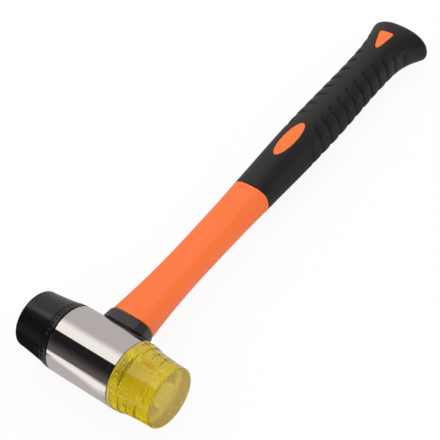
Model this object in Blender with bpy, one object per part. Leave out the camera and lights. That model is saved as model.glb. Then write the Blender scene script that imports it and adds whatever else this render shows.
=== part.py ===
"""Two-faced dead blow mallet lying on its side.

Head axis along X (clear face towards +X), handle along +Y, broad side of the grip up.
Every piece is modelled about the centre of the head, in millimetres, and hangs from one
frame that rests the head and the butt on Z = 0.
"""
import math

import bmesh
import bpy
from mathutils import Matrix

MM = 0.001

# Head
FIT_GAP = 0.3
TUBE_RADIUS = 17.5
TUBE_LENGTH = 38.2
TUBE_WALL = 2.0
TUBE_EDGE = 0.4
PLUG_THICK = 3.4
PLUG_INSET = 0.1
STUD_RADIUS = 5.0
STUD_REACH = 16.0
STUD_CHAMFER = 0.9
EYE_WALL = 1.6
SOCKET_FLOOR = 5.2
BOND_THICK = 0.8

# Screw-on faces
YELLOW_LENGTH = 23.2
BLACK_LENGTH = 22.6
FLANGE_STEP = 1.25
FLANGE_EDGE = 0.5
FLANGE_BREAK = 0.25
NOSE_DRAFT = 1.1
FACE_EDGE = 0.7
YELLOW_FLANGE = 5.4
BLACK_FLANGE = 3.7
FLANGE_SLOPE = 1.9
BLACK_UNDERSIZE = 0.15
THREAD_CLEAR = 0.1
INSERT_WALL = 2.6
INSERT_EDGE = 0.4

# Shot charges, as shares of the chamber's length and radius
SHOT_FILL_SHARE = 0.64
SHOT_LEVEL_SHARE = 0.35

# Handle
TANG_HALF_WIDTH = 6.5
TANG_HALF_THICK = 4.0
COLLAR_HEIGHT = 5.7
COLLAR_LIP = 0.35
COLLAR_EDGE = 0.5
CORE_SHORT = 9.0
JACKET_EDGE = 0.25
JACKET_TAPER = 1.0
SHAFT_LENGTH = 97.0
ROOT_HALF_WIDTH = 12.3
WAIST_HALF_WIDTH = 10.1
NECK_HALF_WIDTH = 11.2
ROOT_HALF_THICK = 6.6
WAIST_HALF_THICK = 6.2
NECK_HALF_THICK = 8.7

# Grip; left is towards the black face, right towards the clear one
GRIP_LENGTH = 148.8
GRIP_WALL = 3.3
GRIP_EDGE = 0.3
GRIP_LIP = 0.2
PALM_HALF_WIDTH = 13.0
PALM_HALF_THICK = 11.3
HEEL_LEFT = 12.6
HEEL_RIGHT = 12.1
HEEL_HALF_THICK = 10.2
BUTT_LEFT = 16.8
BUTT_RIGHT = 21.1
BUTT_HALF_THICK = 11.5
BUTT_SLANT_SHARE = -0.054
RIB_COUNT = 10
RIB_DEPTH = 0.65
RIB_FRONT = 37.4
RIB_BACK = 28.6
RIB_SWEEP = 6.8
STRIP_HALF_WIDTH = 3.6
STRIP_FLARE = 4.2
STRIP_RUN = 36.0
STRIP_FADE = 2.6

# Inlays
INLAY_ASIDE = -0.4
LEAF_FRONT = 22.5
LEAF_HALF_LENGTH = 13.5
LEAF_HALF_WIDTH = 4.15
PICK_BACK = 13.5
PICK_LENGTH = 14.2
PICK_HALF_WIDTH = 4.3
PICK_TIP_ROUND = 1.4
PICK_ROUND = 1.3
INLAY_THICK = 1.3
INLAY_RECESS = 0.08

# Mesh fineness
ROUND = 48
RING = 28
CREASE_ANGLE = 24.0

# Derived sizes
TUBE_END = TUBE_LENGTH / 2
BORE_RADIUS = TUBE_RADIUS - TUBE_WALL
PLUG_FACE = TUBE_END - PLUG_THICK
SOCKET_HALF_WIDTH = TANG_HALF_WIDTH + 2 * FIT_GAP + BOND_THICK
SOCKET_HALF_THICK = TANG_HALF_THICK + 2 * FIT_GAP + BOND_THICK
SOCKET_BOTTOM = -(BORE_RADIUS - SOCKET_FLOOR)
EYE_HALF_LENGTH = SOCKET_HALF_WIDTH + EYE_WALL
COLLAR_TOP = TUBE_RADIUS + COLLAR_HEIGHT
SHAFT_START = COLLAR_TOP + FIT_GAP
GRIP_FRONT = SHAFT_START + SHAFT_LENGTH + FIT_GAP
GRIP_END = GRIP_FRONT + GRIP_LENGTH
GRIP_INNER_END = GRIP_END - 0.12 * GRIP_LENGTH
CORE_END = GRIP_INNER_END - CORE_SHORT
CUT_PAST = BOND_THICK * 5.0
RIB_START = GRIP_FRONT + RIB_FRONT
RIB_PITCH = (GRIP_LENGTH - RIB_FRONT - RIB_BACK) / RIB_COUNT
LEAF_CENTRE = GRIP_FRONT + LEAF_FRONT + LEAF_HALF_LENGTH
PICK_TIP = GRIP_END - PICK_BACK - PICK_LENGTH


def clear_scene():
    """Remove every object that is already in the file."""
    for item in list(bpy.data.objects):
        bpy.data.objects.remove(item, do_unlink=True)


def smooth(low, high, value):
    """Return 0 below low, 1 above high and an eased value between."""
    t = min(1.0, max(0.0, (value - low) / (high - low)))
    return t * t * (3.0 - 2.0 * t)


def paint(name, colour, rough, metal=0.0):
    """Make one Principled material for a node."""
    mat = bpy.data.materials.new(name)
    mat.use_nodes = True
    shader = mat.node_tree.nodes["Principled BSDF"]
    shader.inputs["Base Color"].default_value = (colour[0], colour[1], colour[2], 1.0)
    shader.inputs["Roughness"].default_value = rough
    shader.inputs["Metallic"].default_value = metal
    return mat


def place(name, bm, frame, mat=None, crease=35.0):
    """Turn a bmesh built in millimetres into a named object under the frame."""
    bmesh.ops.remove_doubles(bm, verts=bm.verts, dist=0.0005)
    bmesh.ops.recalc_face_normals(bm, faces=bm.faces)
    bmesh.ops.scale(bm, vec=(MM, MM, MM), verts=bm.verts)
    mesh = bpy.data.meshes.new(name)
    bm.to_mesh(mesh)
    bm.free()
    mesh.shade_smooth()
    mesh.set_sharp_from_angle(angle=math.radians(crease))
    item = bpy.data.objects.new(name, mesh)
    bpy.context.collection.objects.link(item)
    item.parent = frame
    if mat is not None:
        mesh.materials.append(mat)
    return item


def cut(item, tool):
    """Subtract a hidden tool body from an item with a live modifier."""
    tool.hide_render = True
    tool.display_type = "WIRE"
    mod = item.modifiers.new("cut_" + tool.name, "BOOLEAN")
    mod.operation = "DIFFERENCE"
    mod.solver = "EXACT"
    mod.object = tool


def turned(profile, segments=ROUND, closed=False):
    """Turn a profile of (x, radius) pairs about the X axis."""
    bm = bmesh.new()
    rings = []
    for x, radius in profile:
        if radius < 1e-6:
            rings.append([bm.verts.new((x, 0.0, 0.0))])
            continue
        ring = []
        for i in range(segments):
            angle = 2.0 * math.pi * i / segments
            ring.append(bm.verts.new((x, radius * math.cos(angle), radius * math.sin(angle))))
        rings.append(ring)
    pairs = list(zip(rings[:-1], rings[1:]))
    if closed:
        pairs.append((rings[-1], rings[0]))
    for first, second in pairs:
        for i in range(segments):
            j = (i + 1) % segments
            if len(first) == 1:
                bm.faces.new((first[0], second[i], second[j]))
            elif len(second) == 1:
                bm.faces.new((first[i], second[0], first[j]))
            else:
                bm.faces.new((first[i], second[i], second[j], first[j]))
    return bm


def skin(bm, rings, start_cap=True, end_cap=True):
    """Join rings of equal count into a skin; return the vertex rings."""
    loops = [[bm.verts.new(point) for point in ring] for ring in rings]
    count = len(loops[0])
    for first, second in zip(loops[:-1], loops[1:]):
        for i in range(count):
            j = (i + 1) % count
            bm.faces.new((first[i], second[i], second[j], first[j]))
    if start_cap:
        bm.faces.new(loops[0])
    if end_cap:
        bm.faces.new(list(reversed(loops[-1])))
    return loops


def oval(half_width, half_thick, power, y, count=RING):
    """Return a superellipse ring across Y."""
    ring = []
    for i in range(count):
        angle = 2.0 * math.pi * i / count
        c = math.cos(angle)
        s = math.sin(angle)
        x = math.copysign(abs(c) ** (2.0 / power), c) * half_width
        z = math.copysign(abs(s) ** (2.0 / power), s) * half_thick
        ring.append((x, y, z))
    return ring


# One quarter of the eight-sided shaft section, as shares of half width and half thickness:
# crowned top, soft edge, sloping bevel, soft edge, drafted side.
OCTAGON = ((1.0, 0.0), (0.982, 0.25), (0.960, 0.48), (0.918, 0.68), (0.830, 0.790),
           (0.580, 0.958), (0.490, 0.986), (0.0, 1.0))


def eight_sided(half_width, half_thick, roundness, y):
    """Return the shaft ring across Y, blended towards an oval as roundness goes to 1."""
    quarter = []
    for share_x, share_z in OCTAGON[:-1]:
        angle = math.atan2(share_z, share_x)
        power = 2.5
        reach = (abs(math.cos(angle)) ** power + abs(math.sin(angle)) ** power) ** (-1.0 / power)
        x = share_x + roundness * (reach * math.cos(angle) - share_x)
        z = share_z + roundness * (reach * math.sin(angle) - share_z)
        quarter.append((x * half_width, z * half_thick))
    ring = [(x, y, z) for x, z in quarter]
    ring += [(0.0, y, half_thick)]
    ring += [(-x, y, z) for x, z in reversed(quarter[1:])]
    ring += [(-quarter[0][0], y, 0.0)]
    ring += [(-x, y, -z) for x, z in quarter[1:]]
    ring += [(0.0, y, -half_thick)]
    ring += [(x, y, -z) for x, z in reversed(quarter[1:])]
    return ring


def shaft_size(share):
    """Return half width and half thickness of the shaft at a share of its length."""
    root = max(0.0, 1.0 - share / 0.45) ** 2
    neck = max(0.0, (share - 0.45) / 0.55)
    width = WAIST_HALF_WIDTH + (ROOT_HALF_WIDTH - WAIST_HALF_WIDTH) * root
    width += (NECK_HALF_WIDTH - WAIST_HALF_WIDTH) * neck ** 1.8
    thick = WAIST_HALF_THICK + (ROOT_HALF_THICK - WAIST_HALF_THICK) * root
    thick += (NECK_HALF_THICK - WAIST_HALF_THICK) * neck ** 2.5
    return width, thick


def grip_size(share):
    """Return left half width, right half width and half thickness at a share of the grip."""
    lip_width = NECK_HALF_WIDTH + GRIP_LIP
    lip_thick = NECK_HALF_THICK + GRIP_LIP
    end = max(0.0, (share - 0.945) / 0.055)
    close = max(0.0, 1.0 - min(1.0, end) ** 3.0) ** 0.4
    widths = []
    for heel, butt, start, power in ((HEEL_LEFT, BUTT_LEFT, 0.755, 2.25),
                                     (HEEL_RIGHT, BUTT_RIGHT, 0.785, 2.9)):
        width = lip_width + (PALM_HALF_WIDTH - lip_width) * smooth(0.05, 0.45, share)
        width += (heel - PALM_HALF_WIDTH) * smooth(0.45, 0.72, share)
        flare = min(1.0, max(0.0, (share - start) / (0.965 - start)))
        widths.append((width + (butt - heel) * flare ** power) * close)
    palm = 1.0 - max(0.0, 1.0 - share / 0.24) ** 2
    thick = lip_thick + (PALM_HALF_THICK - lip_thick) * palm
    thick += (HEEL_HALF_THICK - PALM_HALF_THICK) * smooth(0.25, 0.56, share)
    thick += (BUTT_HALF_THICK - HEEL_HALF_THICK) * smooth(0.66, 0.93, share)
    return widths[0], widths[1], thick * close


GRIP_POWER = 2.3


def grip_top(x, y):
    """Return the height of the grip's broad side above its axis."""
    left, right, thick = grip_size((y - GRIP_FRONT) / GRIP_LENGTH)
    width = left if x < 0.0 else right
    return thick * max(0.0, 1.0 - abs(x / width) ** GRIP_POWER) ** (1.0 / GRIP_POWER)


def rib_wave(y):
    """Return 0 on the crest of a rib and 1 in the notch between two ribs."""
    turns = (y - RIB_START) / RIB_PITCH
    if turns < -0.5 or turns > RIB_COUNT + 0.5:
        return 0.0
    near = abs(turns - round(turns))
    return max(0.0, 1.0 - 2.0 * near) ** 2.2


def strip_half(y):
    """Return half the width of the smooth strip that runs down the broad sides."""
    run = max(0.0, 1.0 - max(0.0, y - RIB_START) / STRIP_RUN)
    return STRIP_HALF_WIDTH + STRIP_FLARE * run ** 1.5


def grip_ring(y):
    """Return an outer ring of the grip, swept to the ribs' chevron and notched off the strip."""
    share = (y - GRIP_FRONT) / GRIP_LENGTH
    sweep = RIB_SWEEP * smooth(0.08, 0.25, share) * (1.0 - smooth(0.80, 0.94, share))
    lean = BUTT_SLANT_SHARE * min(1.0, max(0.0, (share - 0.74) / 0.225)) ** 2
    wave = rib_wave(y)
    ring = []
    for c, _, s in oval(1.0, 1.0, GRIP_POWER, 0.0):
        along = y + sweep * (math.asin(min(1.0, abs(s) ** (GRIP_POWER / 2.0))) / (math.pi / 2)) ** 1.2
        left, right, thick = grip_size((along - GRIP_FRONT) / GRIP_LENGTH)
        x = c * (left if c < 0.0 else right)
        z = s * thick
        start = strip_half(along)
        side = smooth(start, start + STRIP_FADE, abs(x))
        factor = 1.0 - RIB_DEPTH * wave * side / max(RIB_DEPTH, math.hypot(x, z))
        ring.append((x * factor, along + lean * x, z * factor))
    return ring


def make_head(frame):
    """Build the tube and what is fixed inside it."""
    steel = paint("plug_steel", (0.42, 0.42, 0.43), 0.35, 1.0)
    bm = turned([(-TUBE_END, BORE_RADIUS), (-TUBE_END, TUBE_RADIUS - TUBE_EDGE),
                 (-TUBE_END + TUBE_EDGE, TUBE_RADIUS), (TUBE_END - TUBE_EDGE, TUBE_RADIUS),
                 (TUBE_END, TUBE_RADIUS - TUBE_EDGE), (TUBE_END, BORE_RADIUS)], closed=True)
    tube = place("head_tube", bm, frame, paint("chrome_tube", (0.78, 0.78, 0.79), 0.08, 1.0))
    block_end = BORE_RADIUS - FIT_GAP
    bm = turned([(-EYE_HALF_LENGTH, 0.0), (-EYE_HALF_LENGTH, block_end),
                 (EYE_HALF_LENGTH, block_end), (EYE_HALF_LENGTH, 0.0)])
    block = place("eye_block", bm, frame, paint("block_iron", (0.16, 0.16, 0.17), 0.55, 1.0))
    bm = bmesh.new()
    skin(bm, [oval(SOCKET_HALF_WIDTH, SOCKET_HALF_THICK, 2.6, y)
              for y in (SOCKET_BOTTOM, TUBE_RADIUS + CUT_PAST)])
    socket = place("socket_cutter", bm, frame)
    cut(tube, socket)
    cut(block, socket)
    bm = bmesh.new()
    bond_low = SOCKET_BOTTOM + FIT_GAP
    bond_high = math.sqrt((TUBE_RADIUS + FIT_GAP) ** 2 - SOCKET_HALF_THICK ** 2) - 1.5 * FIT_GAP
    wide = TANG_HALF_WIDTH + FIT_GAP
    deep = TANG_HALF_THICK + FIT_GAP
    skin(bm, [oval(wide, deep, 2.6, bond_low + BOND_THICK), oval(wide, deep, 2.6, bond_high),
              oval(wide + BOND_THICK, deep + BOND_THICK, 2.6, bond_high),
              oval(wide + BOND_THICK, deep + BOND_THICK, 2.6, bond_low)])
    place("eye_bond", bm, frame, paint("bond_resin", (0.55, 0.42, 0.22), 0.3))
    for side, name in ((-1.0, "black"), (1.0, "yellow")):
        rim = BORE_RADIUS - FIT_GAP
        hole = STUD_RADIUS + FIT_GAP
        bm = turned([(side * PLUG_FACE, hole), (side * PLUG_FACE, rim),
                     (side * (TUBE_END - PLUG_INSET), rim),
                     (side * (TUBE_END - PLUG_INSET), hole)], closed=True)
        place(name + "_end_plug", bm, frame, steel.copy())
        tip = TUBE_END + STUD_REACH
        back = PLUG_FACE + FIT_GAP
        bm = turned([(side * back, 0.0), (side * back, STUD_RADIUS),
                     (side * (tip - STUD_CHAMFER), STUD_RADIUS),
                     (side * tip, STUD_RADIUS - STUD_CHAMFER),
                     (side * tip, 0.0)], 32)
        place(name + "_stud", bm, frame, paint(name + "_stud_zinc", (0.55, 0.55, 0.52), 0.3, 1.0))


def make_shot(frame):
    """Build the two loose charges, each settled level in its chamber."""
    low = EYE_HALF_LENGTH + FIT_GAP
    high = PLUG_FACE - FIT_GAP
    middle = (low + high) / 2
    half = (high - low) / 2 * SHOT_FILL_SHARE
    radius = BORE_RADIUS - FIT_GAP
    level = SHOT_LEVEL_SHARE * radius
    start = math.asin(SHOT_LEVEL_SHARE)
    outline = []
    for i in range(37):
        angle = math.pi - start + (math.pi + 2 * start) * i / 36
        outline.append((radius * math.cos(angle), radius * math.sin(angle)))
    for side, name in ((-1.0, "black"), (1.0, "yellow")):
        bm = bmesh.new()
        rings = [[(side * (middle + offset), y, min(z, level)) for y, z in outline]
                 for offset in (-half, half)]
        skin(bm, rings)
        place(name + "_shot", bm, frame, paint(name + "_shot_steel", (0.3, 0.3, 0.31), 0.4, 1.0))


def face_profile(side, length, flange_radius, flange_width, bore, depth):
    """Return the turned profile of a screw-on face, from bore floor to striking face."""
    start = TUBE_END + FIT_GAP
    end = start + length
    base = flange_radius - FLANGE_STEP
    nose = base - NOSE_DRAFT
    shoulder = start + flange_width
    points = [(start + depth, 0.0), (start + depth, bore), (start, bore),
              (start, flange_radius - FLANGE_EDGE), (start + FLANGE_EDGE, flange_radius),
              (shoulder - FLANGE_EDGE, flange_radius), (shoulder, flange_radius - FLANGE_BREAK)]
    for i in range(1, 6):
        t = i / 5.0
        drop = FLANGE_BREAK + (FLANGE_STEP - FLANGE_BREAK) * (1.0 - (1.0 - t) ** 2)
        points.append((shoulder + FLANGE_SLOPE * t, flange_radius - drop))
    points.append((end - FACE_EDGE, nose))
    for i in range(1, 4):
        angle = math.pi / 2 * i / 3
        points.append((end - FACE_EDGE + FACE_EDGE * math.sin(angle),
                       nose - FACE_EDGE + FACE_EDGE * math.cos(angle)))
    points.append((end, 0.0))
    return [(side * x, radius) for x, radius in points]


def make_faces(frame):
    """Build the two screw-on faces and the bush inside the rubber one."""
    reach = STUD_REACH + 3 * FIT_GAP
    bore = STUD_RADIUS + FIT_GAP + THREAD_CLEAR
    bm = turned(face_profile(1.0, YELLOW_LENGTH, TUBE_RADIUS, YELLOW_FLANGE, bore, reach))
    place("yellow_face", bm, frame, paint("amber_polymer", (0.78, 0.62, 0.05), 0.12))
    bush = bore + INSERT_WALL
    profile = face_profile(-1.0, BLACK_LENGTH, TUBE_RADIUS - BLACK_UNDERSIZE, BLACK_FLANGE,
                           bush + FIT_GAP, reach)
    bm = turned(profile)
    place("black_face", bm, frame, paint("black_rubber", (0.03, 0.03, 0.03), 0.6))
    low = TUBE_END + 2 * FIT_GAP
    high = TUBE_END + reach - 0.7 * FIT_GAP
    bm = turned([(-low, bore), (-low, bush - INSERT_EDGE), (-low - INSERT_EDGE, bush),
                 (-high + INSERT_EDGE, bush), (-high, bush - INSERT_EDGE), (-high, bore)],
                40, closed=True)
    place("black_face_insert", bm, frame, paint("insert_brass", (0.62, 0.45, 0.17), 0.3, 1.0))


def make_handle(frame):
    """Build the core, the jacket and the collar."""
    bm = bmesh.new()
    foot = SOCKET_BOTTOM + BOND_THICK + 2 * FIT_GAP
    rings = [(foot, 0.9), (foot + FIT_GAP, 1.0), (TUBE_RADIUS, 1.0), (GRIP_FRONT, 1.0), (CORE_END, 1.0)]
    skin(bm, [oval(TANG_HALF_WIDTH * k, TANG_HALF_THICK * k, 2.6, y) for y, k in rings])
    place("handle_core", bm, frame, paint("glass_fibre", (0.72, 0.66, 0.45), 0.45))
    bm = bmesh.new()
    wide = TANG_HALF_WIDTH + FIT_GAP
    deep = TANG_HALF_THICK + FIT_GAP
    count = len(OCTAGON) * 4 - 4
    bore = [oval(wide, deep, 2.6, y, count) for y in (CORE_END + FIT_GAP, GRIP_FRONT, SHAFT_START)]
    outer = []
    stations = [0.0, 0.004] + [i / 20.0 for i in range(1, 20)] + [0.985, 1.0]
    for share in stations:
        width, thick = shaft_size(share)
        edge = JACKET_EDGE if share in (0.0, 1.0) else 0.0
        roundness = 0.75 * smooth(0.62, 1.0, share)
        outer.append(eight_sided(width - edge, thick - edge, roundness, SHAFT_START + SHAFT_LENGTH * share))
    inner_end = GRIP_INNER_END - FIT_GAP
    thin_wide = NECK_HALF_WIDTH - GRIP_WALL
    thin_deep = NECK_HALF_THICK - GRIP_WALL + GRIP_LIP
    for y in (SHAFT_START + SHAFT_LENGTH, inner_end - JACKET_TAPER):
        outer.append(eight_sided(thin_wide, thin_deep, 1.0, y))
    outer.append(eight_sided(thin_wide - JACKET_TAPER, thin_deep - JACKET_TAPER, 1.0, inner_end))
    skin(bm, bore + outer)
    orange = paint("orange_jacket", (0.85, 0.22, 0.03), 0.35)
    place("handle_jacket", bm, frame, orange, CREASE_ANGLE)
    make_collar(frame)


def make_collar(frame):
    """Build the collar that saddles the tube around the tang."""
    width, thick = shaft_size(0.0)
    width += COLLAR_LIP
    thick += COLLAR_LIP
    bm = bmesh.new()
    skin(bm, [eight_sided(width, thick, 0.0, TUBE_RADIUS * 0.5),
              eight_sided(width, thick, 0.0, COLLAR_TOP - COLLAR_EDGE),
              eight_sided(width - 0.9 * COLLAR_EDGE, thick - 0.9 * COLLAR_EDGE, 0.0, COLLAR_TOP)])
    black = paint("collar_black", (0.05, 0.05, 0.05), 0.5)
    collar = place("handle_collar", bm, frame, black, CREASE_ANGLE)
    saddle = TUBE_RADIUS + FIT_GAP
    bm = turned([(-3 * width, 0.0), (-3 * width, saddle), (3 * width, saddle), (3 * width, 0.0)], 72)
    cut(collar, place("saddle_cutter", bm, frame))
    bm = bmesh.new()
    skin(bm, [oval(TANG_HALF_WIDTH + FIT_GAP, TANG_HALF_THICK + FIT_GAP, 2.6, y)
              for y in (0.0, COLLAR_TOP + CUT_PAST)])
    cut(collar, place("tang_cutter", bm, frame))


def grip_stations():
    """Return the Y of every outer ring of the grip, close together at the notches."""
    values = [GRIP_FRONT + RIB_FRONT * s for s in (0.016, 0.12, 0.28, 0.46, 0.64, 0.80)]
    for i in range(RIB_COUNT + 1):
        for offset in (-0.34, -0.13, 0.0, 0.13, 0.34):
            values.append(RIB_START + (i + offset) * RIB_PITCH)
    last = values[-1]
    values += [last + (GRIP_FRONT + 0.95 * GRIP_LENGTH - last) * k / 4.0 for k in (1, 2, 3, 4)]
    tail = 0.05 * GRIP_LENGTH
    values += [GRIP_END - tail * (1.0 - math.sin(math.pi / 2 * k)) for k in (0.25, 0.5, 0.7, 0.86)]
    return values


def make_grip(frame):
    """Build the soft grip with its notches, pockets and inlays."""
    bm = bmesh.new()
    wide = NECK_HALF_WIDTH - GRIP_WALL + FIT_GAP
    deep = NECK_HALF_THICK - GRIP_WALL + GRIP_LIP + FIT_GAP
    rings = [oval(wide, deep, 2.5, y) for y in (GRIP_INNER_END, GRIP_FRONT)]
    _, width, thick = grip_size(0.0)
    rings.append(oval(width - GRIP_EDGE, thick - GRIP_EDGE, GRIP_POWER, GRIP_FRONT))
    rings += [grip_ring(y) for y in grip_stations()]
    tip = grip_ring(GRIP_FRONT + 0.9985 * GRIP_LENGTH)
    rings.append([(x, y + 0.0015 * GRIP_LENGTH, z) for x, y, z in tip])
    skin(bm, rings)
    grip = place("grip_sleeve", bm, frame, paint("grip_rubber", (0.04, 0.04, 0.04), 0.65), 30.0)
    leaf = []
    for i in range(32):
        angle = 2.0 * math.pi * i / 32
        share = math.sin(angle)
        leaf.append((INLAY_ASIDE + LEAF_HALF_WIDTH * math.cos(angle),
                     LEAF_CENTRE + LEAF_HALF_LENGTH * share))
    pick = []
    corners = ((0.0, PICK_TIP_ROUND, PICK_TIP_ROUND),
               (PICK_HALF_WIDTH - PICK_ROUND, PICK_LENGTH - PICK_ROUND, PICK_ROUND),
               (PICK_ROUND - PICK_HALF_WIDTH, PICK_LENGTH - PICK_ROUND, PICK_ROUND))
    for index, (x, y, radius) in enumerate(corners):
        first = -1.2 * math.pi + index * 2.0 * math.pi / 3.0
        first += math.pi * 0.2 + math.pi / 6.0
        for k in range(9):
            angle = first + 2.0 * math.pi / 3.0 * k / 8.0
            pick.append((INLAY_ASIDE + x + radius * math.cos(angle),
                         PICK_TIP + y + radius * math.sin(angle)))
    orange = (0.85, 0.22, 0.03)
    for name, outline in (("grip_leaf", leaf), ("grip_pick", pick)):
        centre_y = sum(p[1] for p in outline) / len(outline)
        lowest = min(grip_top(x, y) for x, y in outline)
        floor = lowest - INLAY_THICK
        for side, label in ((1.0, "_top"), (-1.0, "_bottom")):
            bm = bmesh.new()
            grown = []
            for x, y in outline:
                reach = math.hypot(x - INLAY_ASIDE, y - centre_y)
                grow = 1.0 + FIT_GAP / max(reach * 0.6, 3 * FIT_GAP)
                grown.append((INLAY_ASIDE + (x - INLAY_ASIDE) * grow, centre_y + (y - centre_y) * grow))
            skin(bm, [[(x, y, side * level) for x, y in grown]
                      for level in (floor - FIT_GAP, PALM_HALF_THICK + BUTT_HALF_THICK)])
            cut(grip, place(name + label + "_cutter", bm, frame))
            bm = bmesh.new()
            rings = [[(x, y, side * floor) for x, y in outline]]
            for k in (1.0, 0.72, 0.4, 0.12):
                ring = [(INLAY_ASIDE + (x - INLAY_ASIDE) * k, centre_y + (y - centre_y) * k)
                        for x, y in outline]
                rings.append([(x, y, side * (grip_top(x, y) - INLAY_RECESS)) for x, y in ring])
            skin(bm, rings)
            place(name + label, bm, frame, paint(name + label + "_orange", orange, 0.4))


def lean_angle():
    """Return the turn about X that brings the butt down to the floor with the head."""
    low = -0.2
    high = 0.2
    for _ in range(60):
        angle = (low + high) / 2
        clear = 1.0e9
        for i in range(400):
            y = GRIP_FRONT + GRIP_LENGTH * i / 400.0
            thick = grip_size(i / 400.0)[2]
            clear = min(clear, TUBE_RADIUS + y * math.sin(angle) - thick * math.cos(angle))
        if clear > 0.0:
            high = angle
        else:
            low = angle
    return (low + high) / 2


def main():
    """Build the whole mallet."""
    clear_scene()
    frame = bpy.data.objects.new("mallet_frame", None)
    bpy.context.collection.objects.link(frame)
    angle = lean_angle()
    far = max(y * math.cos(angle) - z * math.sin(angle)
              for station in grip_stations() + [GRIP_END] for _, y, z in grip_ring(station))
    middle = (far - TUBE_RADIUS) / 2
    aside = (BLACK_LENGTH - YELLOW_LENGTH) / 2
    lift = Matrix.Translation((aside * MM, -middle * MM, TUBE_RADIUS * MM))
    frame.matrix_world = lift @ Matrix.Rotation(angle, 4, "X")
    make_head(frame)
    make_shot(frame)
    make_faces(frame)
    make_handle(frame)
    make_grip(frame)


main()
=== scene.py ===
"""Looks of a two-faced soft-face mallet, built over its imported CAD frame.

Sizes are millimetres about the centre of the head: X runs along the head towards the clear
face, Y along the handle towards the butt, and Z up out of the broad side of the grip.
"""
import logging
import math
from collections.abc import Sequence
from dataclasses import dataclass
from enum import Enum

import bmesh
import bpy
from mathutils import Matrix, Vector


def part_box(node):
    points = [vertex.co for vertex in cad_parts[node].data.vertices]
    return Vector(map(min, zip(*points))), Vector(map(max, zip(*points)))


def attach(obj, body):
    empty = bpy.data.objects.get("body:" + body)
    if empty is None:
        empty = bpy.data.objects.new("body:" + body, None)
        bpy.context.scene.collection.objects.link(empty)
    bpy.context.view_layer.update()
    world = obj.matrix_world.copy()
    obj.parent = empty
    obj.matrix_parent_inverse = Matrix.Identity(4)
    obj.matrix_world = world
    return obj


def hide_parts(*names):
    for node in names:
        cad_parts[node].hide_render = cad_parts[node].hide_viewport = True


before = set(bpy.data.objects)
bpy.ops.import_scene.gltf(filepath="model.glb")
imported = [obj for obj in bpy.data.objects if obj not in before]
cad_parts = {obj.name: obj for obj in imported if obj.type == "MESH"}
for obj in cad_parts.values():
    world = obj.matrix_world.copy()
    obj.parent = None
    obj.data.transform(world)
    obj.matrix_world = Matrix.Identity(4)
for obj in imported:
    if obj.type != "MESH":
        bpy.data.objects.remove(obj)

LOG = logging.getLogger("mallet")
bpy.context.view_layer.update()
MM = 0.001
TURN = 2.0 * math.pi
# Points closer than this many millimetres are one point, and a ring is found to within the second.
MERGE = 0.0005
ON_RING = 0.002
# How deep, in metres, a full-strength bump looks.
BUMP_DEPTH = 0.0002
Point = tuple[float, float]
Colour = tuple[float, float, float, float]

# The mallet lies with its head and butt on the floor, so the handle leans by this turn.
LEAN = -0.022912264
HEAD_CENTRE = (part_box("head_tube")[0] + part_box("head_tube")[1]) / 2
LYING = Matrix.Translation(HEAD_CENTRE) @ Matrix.Rotation(LEAN, 4, "X")


class Body(Enum):
    """The moving bodies that pieces ride on."""

    MALLET = "mallet"
    YELLOW_CAP = "yellow_cap"
    BLACK_CAP = "black_cap"
    YELLOW_CHARGE = "yellow_charge"
    BLACK_CHARGE = "black_charge"


class Side(Enum):
    """The two ends of the head, with the sign of X that each points to."""

    BLACK = -1.0
    YELLOW = 1.0


def linear(code: str) -> Colour:
    """Turn an sRGB hex colour into linear light.

    Args:
        code: The colour as "#rrggbb".

    Returns:
        Red, green, blue and a full alpha.
    """
    shares = [int(code[i:i + 2], 16) / 255.0 for i in (1, 3, 5)]
    red, green, blue = (s / 12.92 if s <= 0.04045 else ((s + 0.055) / 1.055) ** 2.4 for s in shares)
    return red, green, blue, 1.0


def per_metre(size: float) -> float:
    """Return how often a pattern of this many millimetres repeats in a metre."""
    return 1.0 / (size * MM)


def add(tree: bpy.types.NodeTree, kind: str, feeds: dict | None = None,
        stops: Sequence[tuple[float, Colour]] = (), **settings: object) -> bpy.types.Node:
    """Add one node with its settings, and set or link its inputs.

    Args:
        tree: The tree that the node joins.
        kind: The node's class name, without its ShaderNode prefix.
        feeds: Values or output sockets by input name or index.
        stops: Places and colours of a colour ramp.
        settings: The node's own properties.

    Returns:
        The new node.
    """
    made = tree.nodes.new("ShaderNode" + kind)
    for key, value in settings.items():
        setattr(made, key, value)
    for index, (place, colour) in enumerate(stops):
        ramp = made.color_ramp.elements
        stop = ramp[index] if index < 2 else ramp.new(place)
        stop.position = place
        stop.color = colour
    for key, value in (feeds or {}).items():
        if isinstance(value, bpy.types.NodeSocket):
            tree.links.new(value, made.inputs[key])
        else:
            made.inputs[key].default_value = value
    return made


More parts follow.
